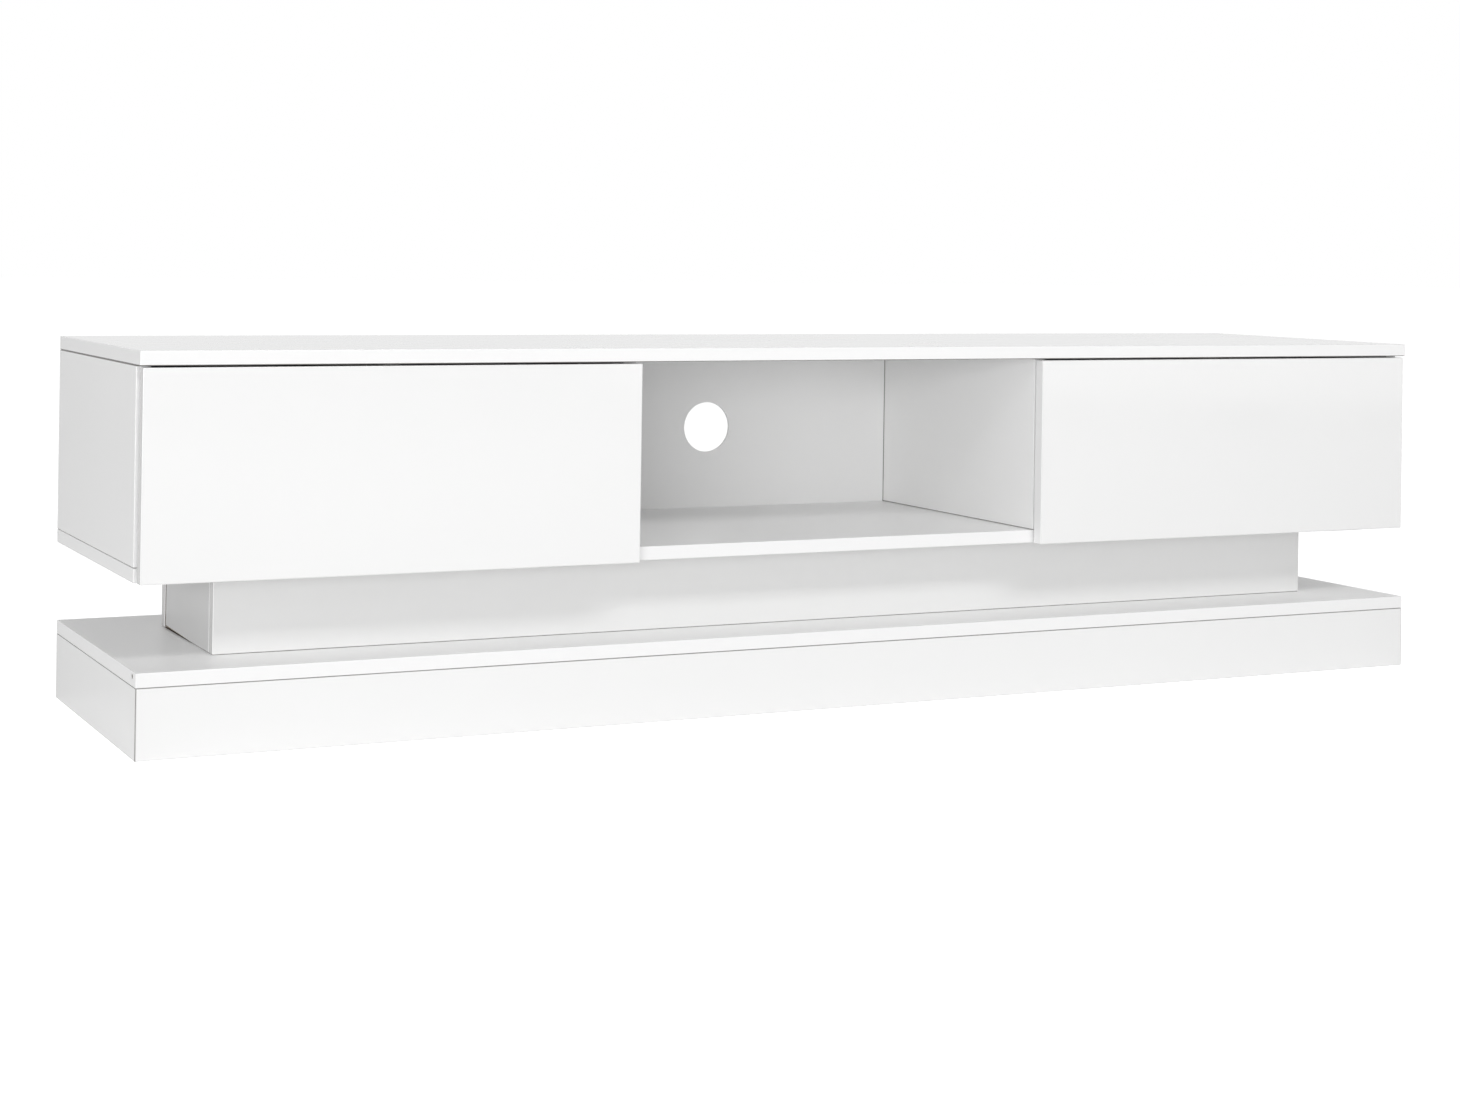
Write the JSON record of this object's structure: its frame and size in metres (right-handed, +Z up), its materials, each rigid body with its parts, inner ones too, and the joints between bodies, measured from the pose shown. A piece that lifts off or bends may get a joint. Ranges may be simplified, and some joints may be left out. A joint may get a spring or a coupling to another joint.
{
  "type": "tv stand with doors",
  "caption": "Low wide cabinet on a recessed riser and plinth, with an open centre bay between two drop-down flap doors.",
  "frame": {"origin": "on the floor, under the middle of the top board", "axes": "+X to the right along the length, +Y to the back (wall side), +Z up"},
  "size_m": [1.6, 0.39, 0.4058],
  "materials": {
    "gloss_white_board": "high gloss white lacquer on fibreboard",
    "back_panel_white": "satin white foil on thin hardboard",
    "hinge_steel": "zinc plated, satin",
    "bright_steel": "nickel plated, bright",
    "die_cast_zinc": "cast, nickel washed",
    "fitting_nylon": "moulded, satin",
    "bumper_silicone": "soft, translucent white"
  },
  "bodies": {
    "cabinet": {"plinth_front_skirt": "gloss_white_board", "plinth_rear_skirt": "gloss_white_board", "plinth_left_skirt": "gloss_white_board", "plinth_right_skirt": "gloss_white_board", "plinth_middle_rib": "gloss_white_board", "plinth_top_board": "gloss_white_board", "riser_front_rail": "gloss_white_board", "riser_rear_rail": "gloss_white_board", "riser_left_end": "gloss_white_board", "riser_right_end": "gloss_white_board", "riser_middle_rib": "gloss_white_board", "case_floor": "gloss_white_board", "top_board": "gloss_white_board", "left_gable": "gloss_white_board", "right_gable": "gloss_white_board", "left_divider": "gloss_white_board", "right_divider": "gloss_white_board", "left_back_panel": "back_panel_white", "centre_back_panel": "back_panel_white", "right_back_panel": "back_panel_white", "left_hinge_1_case_leaf": "hinge_steel", "left_hinge_1_pin": "hinge_steel", "left_hinge_2_case_leaf": "hinge_steel", "left_hinge_2_pin": "hinge_steel", "left_stay_gable_plate": "bright_steel", "left_latch_housing": "fitting_nylon", "left_bumper_gable": "bumper_silicone", "left_bumper_divider": "bumper_silicone", "right_hinge_1_case_leaf": "hinge_steel", "right_hinge_1_pin": "hinge_steel", "right_hinge_2_case_leaf": "hinge_steel", "right_hinge_2_pin": "hinge_steel", "right_stay_gable_plate": "bright_steel", "right_latch_housing": "fitting_nylon", "right_bumper_gable": "bumper_silicone", "right_bumper_divider": "bumper_silicone"},
    "left_flap": {"left_flap": "gloss_white_board", "left_hinge_1_flap_leaf": "hinge_steel", "left_hinge_2_flap_leaf": "hinge_steel", "left_stay_flap_bracket": "die_cast_zinc", "left_latch_strike": "bright_steel"},
    "left_stay_brake": {"left_stay_brake": "fitting_nylon"},
    "left_stay_rod": {"left_stay_rod": "bright_steel"},
    "left_latch_plunger": {"left_latch_plunger": "die_cast_zinc"},
    "right_flap": {"right_flap": "gloss_white_board", "right_hinge_1_flap_leaf": "hinge_steel", "right_hinge_2_flap_leaf": "hinge_steel", "right_stay_flap_bracket": "die_cast_zinc", "right_latch_strike": "bright_steel"},
    "right_stay_brake": {"right_stay_brake": "fitting_nylon"},
    "right_stay_rod": {"right_stay_rod": "bright_steel"},
    "right_latch_plunger": {"right_latch_plunger": "die_cast_zinc"}
  },
  "joints": [
    {"name": "left_flap_hinge", "type": "hinge", "parent": "cabinet", "child": "left_flap", "pos_m": [-0.52833, -0.1785, 0.17375], "axis": [1, 0, 0], "range_deg": [0, 90]},
    {"name": "left_stay_rod_pivot", "type": "hinge", "parent": "left_flap", "child": "left_stay_rod", "pos_m": [-0.7705, -0.166, 0.32323], "axis": [1, 0, 0], "range_deg": [-45, 0]},
    {"name": "left_stay_brake_pivot", "type": "hinge", "parent": "cabinet", "child": "left_stay_brake", "pos_m": [-0.7705, -0.09294, 0.29695], "axis": [1, 0, 0], "range_deg": [0, 45]},
    {"name": "left_latch_push", "type": "slide", "parent": "cabinet", "child": "left_latch_plunger", "axis": [0, 1, 0], "range_m": [0, 0.003], "stiffness_N_per_m": 400},
    {"name": "right_flap_hinge", "type": "hinge", "parent": "cabinet", "child": "right_flap", "pos_m": [0.52833, -0.1785, 0.17375], "axis": [1, 0, 0], "range_deg": [0, 90]},
    {"name": "right_stay_rod_pivot", "type": "hinge", "parent": "right_flap", "child": "right_stay_rod", "pos_m": [0.7705, -0.166, 0.32323], "axis": [1, 0, 0], "range_deg": [-45, 0]},
    {"name": "right_stay_brake_pivot", "type": "hinge", "parent": "cabinet", "child": "right_stay_brake", "pos_m": [0.7705, -0.09294, 0.29695], "axis": [1, 0, 0], "range_deg": [0, 45]},
    {"name": "right_latch_push", "type": "slide", "parent": "cabinet", "child": "right_latch_plunger", "axis": [0, 1, 0], "range_m": [0, 0.003], "stiffness_N_per_m": 400}
  ],
  "couplings": [
    {"joint": "left_stay_rod_pivot", "follows": "left_flap_hinge", "ratio": -0.5},
    {"joint": "left_stay_brake_pivot", "follows": "left_flap_hinge", "ratio": 0.5},
    {"joint": "right_stay_rod_pivot", "follows": "right_flap_hinge", "ratio": -0.5},
    {"joint": "right_stay_brake_pivot", "follows": "right_flap_hinge", "ratio": 0.5}
  ]
}
